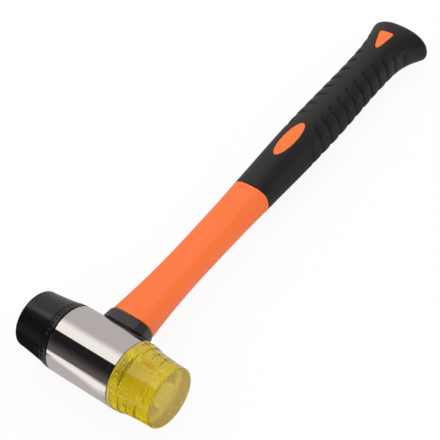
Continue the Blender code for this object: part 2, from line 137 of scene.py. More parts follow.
@dataclass(frozen=True)
class Finish:
    """A named material with one Principled shader; each kind below adds its own pattern."""

    label: str
    colour: str
    rough: float
    metal: float = 0.0

    def material(self) -> bpy.types.Material:
        """Return the material, made on first use."""
        known = bpy.data.materials.get(self.label)
        if known is not None:
            return known
        made = bpy.data.materials.new(self.label)
        made.use_nodes = True
        shader = made.node_tree.nodes["Principled BSDF"]
        shader.inputs["Base Color"].default_value = linear(self.colour)
        shader.inputs["Roughness"].default_value = self.rough
        shader.inputs["Metallic"].default_value = self.metal
        self.dress(made.node_tree, shader)
        return made

    def local(self, tree: bpy.types.NodeTree, scale: tuple[float, float, float]) -> bpy.types.NodeSocket:
        """Return object coordinates about the head, turned to the handle and scaled.

        Args:
            tree: The material's tree.
            scale: Pattern repeats per metre along the head, along the handle and upwards.

        Returns:
            The vector that a texture reads.
        """
        coords = add(tree, "TexCoord").outputs["Object"]
        centred = add(tree, "Mapping", {"Vector": coords, "Location": -HEAD_CENTRE})
        aligned = add(tree, "Mapping", {"Vector": centred.outputs[0], "Rotation": (-LEAN, 0.0, 0.0)})
        return add(tree, "VectorMath", {0: aligned.outputs[0], 1: scale}, operation="MULTIPLY").outputs[0]

    def dress(self, tree: bpy.types.NodeTree, shader: bpy.types.Node) -> None:
        """Add the finish's own pattern to the shader.

        Args:
            tree: The material's tree.
            shader: Its Principled shader.
        """
        raise NotImplementedError


def ride(piece: bpy.types.Object, body: Body, slot: str, *nodes: str) -> bpy.types.Object:
    """Let a piece ride on a body and stand for CAD nodes, and report it.

    Args:
        piece: The finished object.
        body: The body it moves with.
        slot: Not used.
        nodes: The CAD nodes that it replaces.

    Returns:
        The same object.
    """
    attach(piece, body.value)
    if nodes:
        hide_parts(*nodes)
    LOG.info("%s rides on %s, %d faces", piece.name, body.value, len(piece.data.polygons))
    return piece


def settle(bm: bmesh.types.BMesh, name: str, finish: Finish, crease: float = 30.0) -> bpy.types.Object:
    """Close a mesh built in millimetres and set it down in the row frame.

    Args:
        bm: The mesh about the head's centre; it is freed.
        name: The piece's name.
        finish: What it is made of.
        crease: Edges sharper than this many degrees stay sharp.

    Returns:
        The linked object, at the origin.
    """
    bmesh.ops.remove_doubles(bm, verts=bm.verts, dist=MERGE)
    bmesh.ops.recalc_face_normals(bm, faces=bm.faces)
    bmesh.ops.transform(bm, matrix=LYING @ Matrix.Scale(MM, 4), verts=bm.verts)
    mesh = bpy.data.meshes.new(name)
    bm.to_mesh(mesh)
    bm.free()
    mesh.shade_smooth()
    mesh.set_sharp_from_angle(angle=math.radians(crease))
    mesh.materials.append(finish.material())
    piece = bpy.data.objects.new(name, mesh)
    bpy.context.scene.collection.objects.link(piece)
    return piece


def turned(profile: Sequence[Point], steps: int, closed: bool = False) -> bmesh.types.BMesh:
    """Spin a profile of (x, radius) points round the head's axis.

    Args:
        profile: The points, in order.
        steps: Faces round the turn.
        closed: Whether the last point joins the first.

    Returns:
        The turned mesh, normals outwards.
    """
    bm = bmesh.new()
    points = [bm.verts.new((x, 0.0, radius)) for x, radius in profile]
    for first, second in zip(points, points[1:]):
        bm.edges.new((first, second))
    if closed:
        bm.edges.new((points[-1], points[0]))
    bmesh.ops.spin(bm, geom=bm.verts[:] + bm.edges[:], cent=(0.0, 0.0, 0.0), axis=(1.0, 0.0, 0.0),
                   dvec=(0.0, 0.0, 0.0), angle=TURN, steps=steps, use_merge=True, use_duplicate=False)
    bmesh.ops.remove_doubles(bm, verts=bm.verts, dist=MERGE)
    bmesh.ops.recalc_face_normals(bm, faces=bm.faces)
    return bm


def round_off(bm: bmesh.types.BMesh, spots: Sequence[Point], offset: float, segments: int) -> None:
    """Bevel the rings of a turned mesh that pass through some profile points.

    Args:
        bm: A mesh turned about X.
        spots: The (x, radius) points whose rings are rounded.
        offset: How far the bevel reaches along each side.
        segments: How many faces it has.
    """
    def on_spot(vert: bmesh.types.BMVert) -> bool:
        """Tell whether a point lies on one of the rings."""
        radius = math.hypot(vert.co.y, vert.co.z)
        return any(abs(vert.co.x - x) < ON_RING and abs(radius - r) < ON_RING for x, r in spots)

    chosen = {vert for vert in bm.verts if on_spot(vert)}
    edges = [e for e in bm.edges if e.verts[0] in chosen and e.verts[1] in chosen
             and abs(e.verts[0].co.x - e.verts[1].co.x) < ON_RING / 2]
    bmesh.ops.bevel(bm, geom=edges, offset=offset, segments=segments, profile=0.5,
                    affect="EDGES", material=-1)


def loft(rings: Sequence[Sequence[Vector]]) -> bmesh.types.BMesh:
    """Extrude a ring from station to station and close both ends.

    Args:
        rings: Rings of equal count, in order.

    Returns:
        One closed mesh.
    """
    bm = bmesh.new()
    bmesh.ops.create_circle(bm, cap_ends=False, segments=len(rings[0]), radius=1.0)
    front = list(bm.verts)
    edges = list(bm.edges)
    start = edges
    for vert, point in zip(front, rings[0]):
        vert.co = point
    for ring in rings[1:]:
        made = bmesh.ops.extrude_edge_only(bm, edges=edges)["geom"]
        fresh = {part for part in made if isinstance(part, bmesh.types.BMVert)}
        front = [next(e.other_vert(v) for e in v.link_edges if e.other_vert(v) in fresh) for v in front]
        edges = [part for part in made if isinstance(part, bmesh.types.BMEdge)
                 and part.verts[0] in fresh and part.verts[1] in fresh]
        for vert, point in zip(front, ring):
            vert.co = point
    bmesh.ops.edgeloop_fill(bm, edges=start)
    bmesh.ops.edgeloop_fill(bm, edges=edges)
    bmesh.ops.recalc_face_normals(bm, faces=bm.faces)
    return bm


def oval(half_width: float, half_thick: float, power: float, y: float, count: int) -> list[Vector]:
    """Return a superellipse ring across the handle.

    Args:
        half_width: Reach along X.
        half_thick: Reach along Z.
        power: 2 is an ellipse, and more is squarer.
        y: Where along the handle.
        count: Points in the ring.

    Returns:
        The ring's points.
    """
    ring = []
    for i in range(count):
        c, s = math.cos(TURN * i / count), math.sin(TURN * i / count)
        ring.append(Vector((math.copysign(abs(c) ** (2.0 / power), c) * half_width, y,
                            math.copysign(abs(s) ** (2.0 / power), s) * half_thick)))
    return ring


def ease(low: float, high: float, value: float) -> float:
    """Return 0 below low, 1 above high and a smooth step between."""
    share = min(1.0, max(0.0, (value - low) / (high - low)))
    return share * share * (3.0 - 2.0 * share)


def carve(piece: bpy.types.Object, tools: Sequence[bmesh.types.BMesh], crease: float) -> None:
    """Cut closed tools out of a finished piece and keep the result as its mesh.

    Args:
        piece: The object to cut.
        tools: Meshes in millimetres about the head; they are freed.
        crease: Edges sharper than this many degrees stay sharp.
    """
    cutters = []
    for index, bm in enumerate(tools):
        cutter = settle(bm, f"cutter_{index}", PLUG_STEEL)
        cut = piece.modifiers.new(cutter.name, "BOOLEAN")
        cut.operation = "DIFFERENCE"
        cut.solver = "EXACT"
        cut.object = cutter
        cutters.append(cutter)
    shaped = bpy.data.meshes.new_from_object(piece.evaluated_get(bpy.context.evaluated_depsgraph_get()))
    piece.modifiers.clear()
    old = piece.data
    piece.data = shaped
    bpy.data.meshes.remove(old)
    shaped.name = piece.name
    while len(shaped.materials) > 1:
        shaped.materials.pop()
    for face in shaped.polygons:
        face.material_index = 0
    shaped.shade_smooth()
    shaped.set_sharp_from_angle(angle=math.radians(crease))
    for cutter in cutters:
        spare = cutter.data
        bpy.data.objects.remove(cutter)
        bpy.data.meshes.remove(spare)


@dataclass(frozen=True)
class PolishedMetal(Finish):
    """Turned and plated metal: crisp reflections, fine lathe lines and a few smudges."""

    lines: float = 0.18
    relief: float = 0.02
    smudge: float = 0.05
    line_length: float = 25.0
    smudge_size: float = 9.0

    def dress(self, tree: bpy.types.NodeTree, shader: bpy.types.Node) -> None:
        """Run lathe lines round the head's axis and vary the polish.

        Args:
            tree: The material's tree.
            shader: Its Principled shader.
        """
        # Lathe lines are fine along the head and long round it.
        fine, long = per_metre(self.lines), per_metre(self.line_length)
        rings = add(tree, "TexNoise", {"Vector": self.local(tree, (fine, long, long)), "Scale": 1.0,
                                       "Detail": 2.0})
        bump = add(tree, "Bump", {"Height": rings.outputs[0], "Strength": self.relief, "Distance": BUMP_DEPTH})
        tree.links.new(bump.outputs[0], shader.inputs["Normal"])
        wide = per_metre(self.smudge_size)
        haze = add(tree, "TexNoise", {"Vector": self.local(tree, (wide, wide, wide)), "Scale": 1.0,
                                      "Detail": 4.0, "Roughness": 0.6})
        polish = add(tree, "MapRange", {"Value": haze.outputs[0], "From Min": 0.35, "From Max": 0.75,
                                        "To Min": self.rough, "To Max": self.rough + self.smudge})
        tree.links.new(polish.outputs[0], shader.inputs["Roughness"])


@dataclass(frozen=True)
class Moulded(Finish):
    """Moulded plastic or rubber: a fine skin grain, mottled colour and paler worn edges."""

    grain: float = 0.35
    relief: float = 0.15
    mottle: float = 0.08
    worn: str = "#808080"
    wear: float = 0.3
    gloss: float = 0.5
    cloud_size: float = 14.0
    handled: float = 0.06

    def dress(self, tree: bpy.types.NodeTree, shader: bpy.types.Node) -> None:
        """Lay the skin grain, the mottle and the worn edges.

        Args:
            tree: The material's tree.
            shader: Its Principled shader.
        """
        shader.inputs["Specular IOR Level"].default_value = self.gloss
        fine = per_metre(self.grain)
        skin = add(tree, "TexNoise", {"Vector": self.local(tree, (fine, fine, fine)), "Scale": 1.0,
                                      "Detail": 3.0, "Roughness": 0.55})
        bump = add(tree, "Bump", {"Height": skin.outputs[0], "Strength": self.relief, "Distance": BUMP_DEPTH})
        tree.links.new(bump.outputs[0], shader.inputs["Normal"])
        # Clouds of handling shift the gloss and the tone.
        wide = per_metre(self.cloud_size)
        cloud = add(tree, "TexNoise", {"Vector": self.local(tree, (wide, wide, wide)), "Scale": 1.0,
                                       "Detail": 5.0, "Roughness": 0.6})
        sheen = add(tree, "MapRange", {"Value": cloud.outputs[0], "From Min": 0.3, "From Max": 0.7,
                                       "To Min": self.rough - self.handled,
                                       "To Max": self.rough + self.handled})
        tree.links.new(sheen.outputs[0], shader.inputs["Roughness"])
        base = linear(self.colour)
        low = tuple(c * (1.0 - self.mottle) for c in base[:3]) + (1.0,)
        tone = add(tree, "Mix", {0: cloud.outputs[0], 6: low, 7: base}, data_type="RGBA")
        edge = add(tree, "NewGeometry").outputs["Pointiness"]
        rub = add(tree, "MapRange", {"Value": edge, "From Min": 0.52, "From Max": 0.60, "To Min": 0.0,
                                     "To Max": self.wear})
        worn = add(tree, "Mix", {0: rub.outputs[0], 6: tone.outputs[2], 7: linear(self.worn)},
                   data_type="RGBA")
        tree.links.new(worn.outputs[2], shader.inputs["Base Color"])


@dataclass(frozen=True)
class ClearPolymer(Finish):
    """Clear amber cellulose plastic: deep colour where it is thick, scuffed on the striking face."""

    refraction: float = 1.48
    tint: str = "#fbf82e"
    depth: float = 100.0
    clear: float = 0.96
    scuffed: float = 0.24
    face: float = 42.2
    scratch: float = 1.0
    skin: float = 1.6
    skin_rough: float = 0.06
    matt: float = 0.34
    bore_radius: float = 8.0
    bore_end: float = 38.0

    def dress(self, tree: bpy.types.NodeTree, shader: bpy.types.Node) -> None:
        """Let light through, colour it by depth and scuff the striking face.

        Args:
            tree: The material's tree.
            shader: Its Principled shader.
        """
        shader.inputs["Transmission Weight"].default_value = self.clear
        shader.inputs["IOR"].default_value = self.refraction
        # The polished skin mirrors the lights more strongly than the plastic under it.
        shader.inputs["Coat Weight"].default_value = 1.0
        shader.inputs["Coat IOR"].default_value = self.skin
        shader.inputs["Coat Roughness"].default_value = self.skin_rough
        body = add(tree, "VolumeAbsorption", {"Color": linear(self.tint), "Density": self.depth})
        tree.links.new(body.outputs[0], tree.nodes["Material Output"].inputs["Volume"])
        # The spot is in millimetres about the head, and the face's scuffs are fine scratches.
        unit = per_metre(1.0)
        spot = self.local(tree, (unit, unit, unit))
        along = add(tree, "SeparateXYZ", {0: spot}).outputs[0]
        struck = add(tree, "MapRange", {"Value": along, "From Min": self.face - 0.3, "From Max": self.face,
                                        "To Min": 0.0, "To Max": 1.0})
        scratch = add(tree, "TexNoise", {"Vector": spot, "Scale": 1.0 / self.scratch, "Detail": 4.0,
                                         "Roughness": 0.7})
        haze = add(tree, "MapRange", {"Value": scratch.outputs[0], "From Min": 0.2, "From Max": 0.8,
                                      "To Min": self.scuffed * 0.7, "To Max": self.scuffed * 1.3})
        clean = add(tree, "MapRange", {"Value": scratch.outputs[0], "From Min": 0.2, "From Max": 0.8,
                                       "To Min": self.rough * 0.6, "To Max": self.rough * 1.4})
        outside = add(tree, "Mix", {0: struck.outputs[0], 2: clean.outputs[0], 3: haze.outputs[0]})
        # The bore is cut, not polished, and blurs the stud.
        across = add(tree, "VectorMath", {0: spot, 1: (0.0, 1.0, 1.0)}, operation="MULTIPLY").outputs[0]
        reach = add(tree, "VectorMath", {0: across}, operation="LENGTH").outputs["Value"]
        near = add(tree, "Math", {0: reach, 1: self.bore_radius}, operation="LESS_THAN").outputs[0]
        deep = add(tree, "Math", {0: along, 1: self.bore_end}, operation="LESS_THAN").outputs[0]
        bored = add(tree, "Math", {0: near, 1: deep}, operation="MULTIPLY").outputs[0]
        rough = add(tree, "Mix", {0: bored, 2: outside.outputs[0], 3: self.matt})
        tree.links.new(rough.outputs[0], shader.inputs["Roughness"])


@dataclass(frozen=True)
class Streaked(Finish):
    """Pulled glass fibre: long pale streaks along the handle under a resin gloss."""

    streak: str = "#f0e6c4"
    streak_size: Point = (0.3, 30.0)
    relief: float = 0.2

    def dress(self, tree: bpy.types.NodeTree, shader: bpy.types.Node) -> None:
        """Draw the fibre streaks, narrow across the handle and long down it.

        Args:
            tree: The material's tree.
            shader: Its Principled shader.
        """
        thin, long = (per_metre(size) for size in self.streak_size)
        fibre = add(tree, "TexNoise", {"Vector": self.local(tree, (thin, long, thin)), "Scale": 1.0,
                                       "Detail": 3.0})
        tone = add(tree, "Mix", {0: fibre.outputs[0], 6: linear(self.colour), 7: linear(self.streak)},
                   data_type="RGBA")
        tree.links.new(tone.outputs[2], shader.inputs["Base Color"])
        bump = add(tree, "Bump", {"Height": fibre.outputs[0], "Strength": self.relief, "Distance": BUMP_DEPTH})
        tree.links.new(bump.outputs[0], shader.inputs["Normal"])


# Polished chrome plate on a steel tube: a near mirror.
CHROME = PolishedMetal("polished_chrome_plate", "#f4f2f1", 0.035, 1.0)
# Bright zinc plate on rolled threads: a soft grey metal.
ZINC = PolishedMetal("zinc_plated_steel", "#b9bab4", 0.26, 1.0, relief=0.05)
# The stud under the clear face is plated bright, so the face glows round it.
BRIGHT_ZINC = PolishedMetal("bright_zinc_plate", "#f4f2ea", 0.4, 0.85, relief=0.05)
# Off-white nylon plug behind the clear face: it throws the light back through the plastic.
PALE_NYLON = Moulded("natural_nylon", "#e6e2d2", 0.4, grain=0.6, relief=0.05, worn="#f4f1e6")
# Faced steel plugs: visible lathe rings.
PLUG_STEEL = PolishedMetal("faced_steel", "#9a9a9c", 0.3, 1.0, lines=0.3, relief=0.15)
# Turned brass bush: warm and satin.
BRASS = PolishedMetal("turned_brass", "#b58a4a", 0.25, 1.0, relief=0.08)
# Steel shot: small bright beads.
SHOT_STEEL = PolishedMetal("steel_shot", "#8c8d90", 0.3, 1.0)
# Cast iron block: dark, grainy and dull.
IRON = Moulded("cast_iron", "#3a3a3c", 0.6, 1.0, grain=0.8, relief=0.5)
# Cured resin: amber and glossy.
RESIN = Moulded("cured_resin", "#a5834a", 0.3, grain=2.0, relief=0.05)
# Glass fibre core rod.
FIBRE = Streaked("pulled_glass_fibre", "#cdbd8a", 0.4)
# Moulded rubber of the dark face: satin black.
FACE_RUBBER = Moulded("moulded_black_rubber", "#0f0f10", 0.2, grain=0.5, relief=0.03, wear=0.0, gloss=0.75)
# Clear amber cellulose plastic of the bright face.
AMBER = ClearPolymer("clear_amber_plastic", "#fdec6e", 0.05)
# Polypropylene jacket: saturated orange with a soft gloss.
JACKET = Moulded("orange_polypropylene", "#ff752d", 0.28, grain=0.9, relief=0.05, mottle=0.03,
                 worn="#ff9a62", wear=0.15, gloss=0.8)
# Nylon collar: charcoal and matt.
NYLON = Moulded("charcoal_nylon", "#2a2827", 0.3, grain=0.4, relief=0.06, worn="#4a4846", gloss=1.0)
# Soft thermoplastic rubber of the grip: black, matt and finely grained.
GRIP_RUBBER = Moulded("soft_grip_rubber", "#222121", 0.42, grain=0.45, relief=0.15, worn="#3a3838", gloss=0.6)
# The same orange, matt, where it shows through the grip.
INLAY = Moulded("matt_orange_inlay", "#fd7a33", 0.42, grain=0.6, relief=0.08, mottle=0.04,
                worn="#ff9a62", wear=0.1)


@dataclass
class HeadTube:
    """The chromed tube that holds the head together, with its handle socket."""

    radius: float = 17.495
    half_length: float = 19.1
    wall: float = 1.995
    edge: float = 0.4
    edge_margin: float = 0.15
    flush: float = 0.2
    middle: float = 10.0
    socket_half_width: float = 7.9
    socket_half_thick: float = 5.4
    steps: int = 128

    def build(self) -> bpy.types.Object:
        """Turn the tube, round its rims and cut the socket.

        Returns:
            The finished tube.
        """
        bore = self.radius - self.wall
        flat = self.half_length - self.edge - self.edge_margin
        rows = (-self.half_length, -flat, -self.middle, self.middle, flat + self.flush,
                self.half_length + self.flush)
        bm = turned([(x, self.radius) for x in rows] + [(x, bore) for x in reversed(rows)], self.steps, True)
        rims = [(x, r) for x in (rows[0], rows[-1]) for r in (self.radius, bore)]
        round_off(bm, rims, self.edge, 3)
        tube = settle(bm, "chrome_tube", CHROME)
        carve(tube, [loft([oval(self.socket_half_width, self.socket_half_thick, 2.6, y, 64)
                           for y in (0.0, self.radius + 4.0)])], 30.0)
        return ride(tube, Body.MALLET, "head_tube", "head_tube")


@dataclass
class ThreadedStud:
    """A zinc-plated stud with a rolled thread that a face screws onto."""

    side: Side
    finish: Finish
    radius: float = 5.0
    root: float = 4.45
    pitch: float = 1.5
    shank: float = 5.0
    back: float = 16.0
    plain: float = 19.2
    tip: float = 35.1
    chamfer: float = 0.9
    steps: int = 40

    def build(self) -> bpy.types.Object:
        """Sweep one thread tooth along a helix, trim both ends and chamfer the tip.

        Returns:
            The finished stud.
        """
        bm = bmesh.new()
        # One tooth, as shares of the pitch.
        shape = ((0.0, self.root), (0.12, self.root), (0.45, self.radius), (0.55, self.radius),
                 (0.88, self.root), (1.0, self.root))
        begin = self.back - 2.0 * self.pitch
        tooth = [bm.verts.new((begin + share * self.pitch, 0.0, radius)) for share, radius in shape]
        for first, second in zip(tooth, tooth[1:]):
            bm.edges.new((first, second))
        turns = math.ceil((self.tip - self.back) / self.pitch) + 3
        bmesh.ops.spin(bm, geom=bm.verts[:] + bm.edges[:], cent=(0.0, 0.0, 0.0), axis=(1.0, 0.0, 0.0),
                       dvec=(self.pitch / self.steps, 0.0, 0.0), angle=TURN * turns,
                       steps=self.steps * turns, use_merge=False, use_duplicate=False)
        bmesh.ops.remove_doubles(bm, verts=bm.verts, dist=0.01)
        for place, way in ((self.back, -1.0), (self.tip, 1.0)):
            cut = bmesh.ops.bisect_plane(bm, geom=bm.verts[:] + bm.edges[:] + bm.faces[:], dist=0.0001,
                                         plane_co=(place, 0.0, 0.0), plane_no=(way, 0.0, 0.0),
                                         clear_outer=True)
            rim = [part for part in cut["geom_cut"] if isinstance(part, bmesh.types.BMEdge)]
            bmesh.ops.edgeloop_fill(bm, edges=rim)
        for vert in bm.verts:
            reach = math.hypot(vert.co.y, vert.co.z)
            # The shank inside the plug is plain, and the tip has a chamfer.
            past = max(0.0, vert.co.x - self.tip + self.chamfer)
            most = self.shank if vert.co.x < self.plain else self.radius - past
            if reach > most:
                vert.co.y *= most / reach
                vert.co.z *= most / reach
        if self.side is Side.BLACK:
            bmesh.ops.rotate(bm, verts=bm.verts, cent=(0.0, 0.0, 0.0), matrix=Matrix.Rotation(math.pi, 3, "Z"))
        node = self.side.name.lower() + "_stud"
        return ride(settle(bm, "threaded_" + node, self.finish), Body.MALLET, node, node)


# Points round the flange for each notch.
NOTCH_STEPS = 6


@dataclass
class ScrewFace:
    """A screw-on striking face: notched barrel flange, grooved foot, tapered nose and blind bore.

    Runs are measured from the face's seat on the tube, and radii from the head's axis.
    """

    side: Side
    finish: Finish
    flange: float
    barrel: float
    crown: float
    foot: Point
    nose: Point
    sweep: float
    bore: Point
    notch_depth: float
    start: float = 19.4
    fullest: float = 0.9
    groove: float = 0.22
    drop: float = 0.25
    mouth: float = 0.8
    seat_edge: float = 0.35
    crown_edge: float = 0.22
    face_edge: float = 0.8
    face_margin: float = 0.3
    bore_edge: float = 1.2
    notches: int = 46
    notch_low: float = 1.5
    notch_high: float = 3.1
    notch_ramp: float = 0.15

    def radius(self, run: float) -> float:
        """Return the outer radius at a run: the barrel, then the foot's groove, then the hollow nose."""
        if run <= self.crown:
            return self.flange - self.barrel * (run - self.fullest) ** 2
        if run < self.foot[0]:
            return self.foot[1] - self.groove
        share = max(0.0, run - self.foot[0]) / (self.nose[0] - self.foot[0])
        return self.nose[1] + (self.foot[1] - self.nose[1]) * (1.0 - share) ** self.sweep

    def bore_profile(self) -> list[Point]:
        """Return the bore from its floor on the axis out to the chamfered mouth."""
        depth, width = self.bore
        return [(self.start + depth, 0.0), (self.start + depth, width), (self.start + self.mouth, width),
                (self.start, width + self.mouth)]

    def build(self) -> bpy.types.Object:
        """Turn the face, round its rims and press in the flange notches.

        Returns:
            The finished face.
        """
        length, tip = self.nose
        after = self.notch_high + self.notch_ramp
        runs = [0.0, self.fullest, self.notch_low - self.notch_ramp, self.notch_low, self.notch_high]
        runs += [after + (self.crown - after) * i / 4 for i in range(5)]
        runs += [self.crown + self.drop]
        last = length - self.face_edge - self.face_margin
        runs += [self.foot[0] + (last - self.foot[0]) * i / 14 for i in range(15)]
        runs += [length]
        profile = self.bore_profile() + [(self.start + run, self.radius(run)) for run in runs]
        end = self.start + length
        profile += [(end, tip - self.face_edge - self.face_margin), (end, 5.0), (end, 0.0)]
        bm = turned(profile, NOTCH_STEPS * self.notches)
        self.press_notches(bm)
        round_off(bm, [(self.start, self.radius(0.0))], self.seat_edge, 3)
        round_off(bm, [(self.start + self.crown, self.radius(self.crown))], self.crown_edge, 3)
        round_off(bm, [(end, tip)], self.face_edge, 4)
        round_off(bm, [(self.start + self.bore[0], self.bore[1])], self.bore_edge, 8)
        if self.side is Side.BLACK:
            bmesh.ops.rotate(bm, verts=bm.verts, cent=(0.0, 0.0, 0.0), matrix=Matrix.Rotation(math.pi, 3, "Z"))
        node = self.side.name.lower() + "_face"
        piece = settle(bm, "screw_on_" + node, self.finish, 20.0)
        return ride(piece, Body.YELLOW_CAP if self.side is Side.YELLOW else Body.BLACK_CAP, node, node)

    def press_notches(self, bm: bmesh.types.BMesh) -> None:
        """Sink every other group of points round the flange to make finger notches.

        Args:
            bm: The turned face.
        """
        low, high = self.start + self.notch_low, self.start + self.notch_high
        for vert in bm.verts:
            radius = math.hypot(vert.co.y, vert.co.z)
            if radius < self.nose[1] or not low - 0.01 <= vert.co.x <= high + 0.01:
                continue
            place = round(math.atan2(vert.co.y, vert.co.z) / TURN * NOTCH_STEPS * self.notches) % NOTCH_STEPS
            if place < NOTCH_STEPS // 2:
                share = 1.0 - self.notch_depth / radius
                vert.co.y *= share
                vert.co.z *= share


# A quarter of the shaft's outline, as shares of its half width and half thickness.
OCTAGON = ((1.0, 0.0), (0.982, 0.25), (0.960, 0.48), (0.918, 0.68), (0.830, 0.790),
           (0.580, 0.958), (0.490, 0.986), (0.0, 1.0))


def eight_sided(half_width: float, half_thick: float, roundness: float, y: float) -> list[Vector]:
    """Return the shaft's eight-sided ring, eased to an oval as roundness goes to 1.

    Args:
        half_width: Reach along X.
        half_thick: Reach along Z.
        roundness: From 0, eight-sided, to 1, oval.
        y: Where along the handle.

    Returns:
        Twenty-eight points.
    """
    quarter = []
    for share_x, share_z in OCTAGON[:-1]:
        angle = math.atan2(share_z, share_x)
        reach = (math.cos(angle) ** 2.5 + math.sin(angle) ** 2.5) ** -0.4
        quarter.append(((share_x + roundness * (reach * math.cos(angle) - share_x)) * half_width,
                        (share_z + roundness * (reach * math.sin(angle) - share_z)) * half_thick))
    half = quarter + [(0.0, half_thick)] + [(-x, z) for x, z in reversed(quarter)]
    outline = half + [(x, -z) for x, z in reversed(half[1:-1])]
    return [Vector((x, y, z)) for x, z in outline]


@dataclass
class Shaft:
    """The orange jacket over the fibre core, from the collar to inside the grip."""

    start: float = 23.5
    length: float = 97.0
    root: Point = (12.3, 6.6)
    waist: Point = (10.1, 6.2)
    neck: Point = (11.2, 8.7)
    inner: Point = (7.9, 5.6)
    core: Point = (6.8, 4.3)
    inner_end: float = 251.5
    core_end: float = 243.0
    edge: float = 0.25
    waist_at: float = 0.45
    round_from: float = 0.62
    round_most: float = 0.75

    def size(self, share: float) -> Point:
        """Return half width and half thickness at a share of the shaft's length."""
        root = max(0.0, 1.0 - share / self.waist_at) ** 2
        neck = max(0.0, (share - self.waist_at) / (1.0 - self.waist_at))
        width = self.waist[0] + (self.root[0] - self.waist[0]) * root
        thick = self.waist[1] + (self.root[1] - self.waist[1]) * root
        width += (self.neck[0] - self.waist[0]) * neck ** 1.8
        thick += (self.neck[1] - self.waist[1]) * neck ** 2.5
        return width, thick

    def build(self) -> bpy.types.Object:
        """Loft the bore, the shaft and the tail inside the grip as one skin.

        Returns:
            The finished jacket.
        """
        finish = self.start + self.length
        rings = [oval(*self.core, 2.6, y, 28) for y in (self.core_end, self.core_end - 1.0, self.start + 1.0,
                                                        self.start)]
        for share in [0.0, 0.003, 0.012] + [i / 24.0 for i in range(1, 24)] + [0.99, 0.997, 1.0]:
            width, thick = self.size(share)
            inset = self.edge if share in (0.0, 1.0) else 0.0
            roundness = self.round_most * ease(self.round_from, 1.0, share)
            rings.append(eight_sided(width - inset, thick - inset, roundness,
                                     self.start + self.length * share))
        for y in (finish, finish + 1.0, self.inner_end - 1.0):
            rings.append(eight_sided(*self.inner, 1.0, y))
        rings.append(eight_sided(self.inner[0] - 1.0, self.inner[1] - 1.0, 1.0, self.inner_end))
        jacket = settle(loft(rings), "orange_jacket", JACKET, 40.0)
        smooth = jacket.modifiers.new("soft_edges", "SUBSURF")
        smooth.levels = smooth.render_levels = 2
        # The jacket is kept out of reflections, so the chrome stays neutral under the collar.
        jacket.visible_glossy = False
        return ride(jacket, Body.MALLET, "handle_jacket", "handle_jacket")


@dataclass
class Collar:
    """The charcoal collar that saddles the tube round the handle's root."""

    tube_radius: float = 17.5
    gap: float = 0.3
    top: float = 23.2
    width: float = 12.65
    thick: float = 6.95
    core: Point = (6.8, 4.3)
    edge: float = 0.55
    undercut: float = 0.7
    flare: float = 0.5
    skirt: float = 0.2
    hug: float = 0.85
    crease: float = 9.5
    soft_edge: float = 0.25

    def build(self) -> bpy.types.Object:
        """Loft the collar from its saddle to its top, leaving the core's hole.

        Returns:
            The finished collar.
        """
        saddle = self.tube_radius + self.gap

        def seat(points: Sequence[Vector], lift: float) -> list[Vector]:
            """Drop a ring onto the tube, lifted by a little, and by less at its left end."""
            low = [1.0 - self.hug * ease(0.5, 1.0, -p.x / self.width) for p in points]
            return [Vector((p.x, math.sqrt(saddle ** 2 - p.z ** 2) + lift * share, p.z))
                    for p, share in zip(points, low)]

        outer = eight_sided(self.width, self.thick, 0.0, 0.0)
        skirt = eight_sided(self.width + self.flare, self.thick + 0.5 * self.flare, 0.0, 0.0)
        foot = eight_sided(self.width - self.undercut, self.thick - self.undercut, 0.0, 0.0)
        hole = oval(*self.core, 2.6, 0.0, 28)
        up = Vector((0.0, self.top, 0.0))
        lip = Vector((0.0, self.top - self.edge, 0.0))
        rings = [seat(hole, 0.0), seat(foot, 0.0), seat(foot, self.undercut),
                 seat(skirt, self.undercut + self.skirt)]
        rings += [[p + lip for p in outer]]
        rings += [[p + up for p in eight_sided(self.width - self.edge, self.thick - self.edge, 0.0, 0.0)]]
        rings += [[p + up for p in hole]]
        bm = loft(rings + [rings[0]])
        for face in [f for f in bm.faces if len(f.verts) > 4]:
            bm.faces.remove(face)
        collar = settle(bm, "saddle_collar", NYLON, self.crease)
        soften = collar.modifiers.new("soft_edges", "BEVEL")
        soften.limit_method = "ANGLE"
        soften.angle_limit = math.radians(self.crease)
        soften.width = self.soft_edge * MM
        soften.segments = 2
        soften.harden_normals = True
        return ride(collar, Body.MALLET, "handle_collar", "handle_collar")


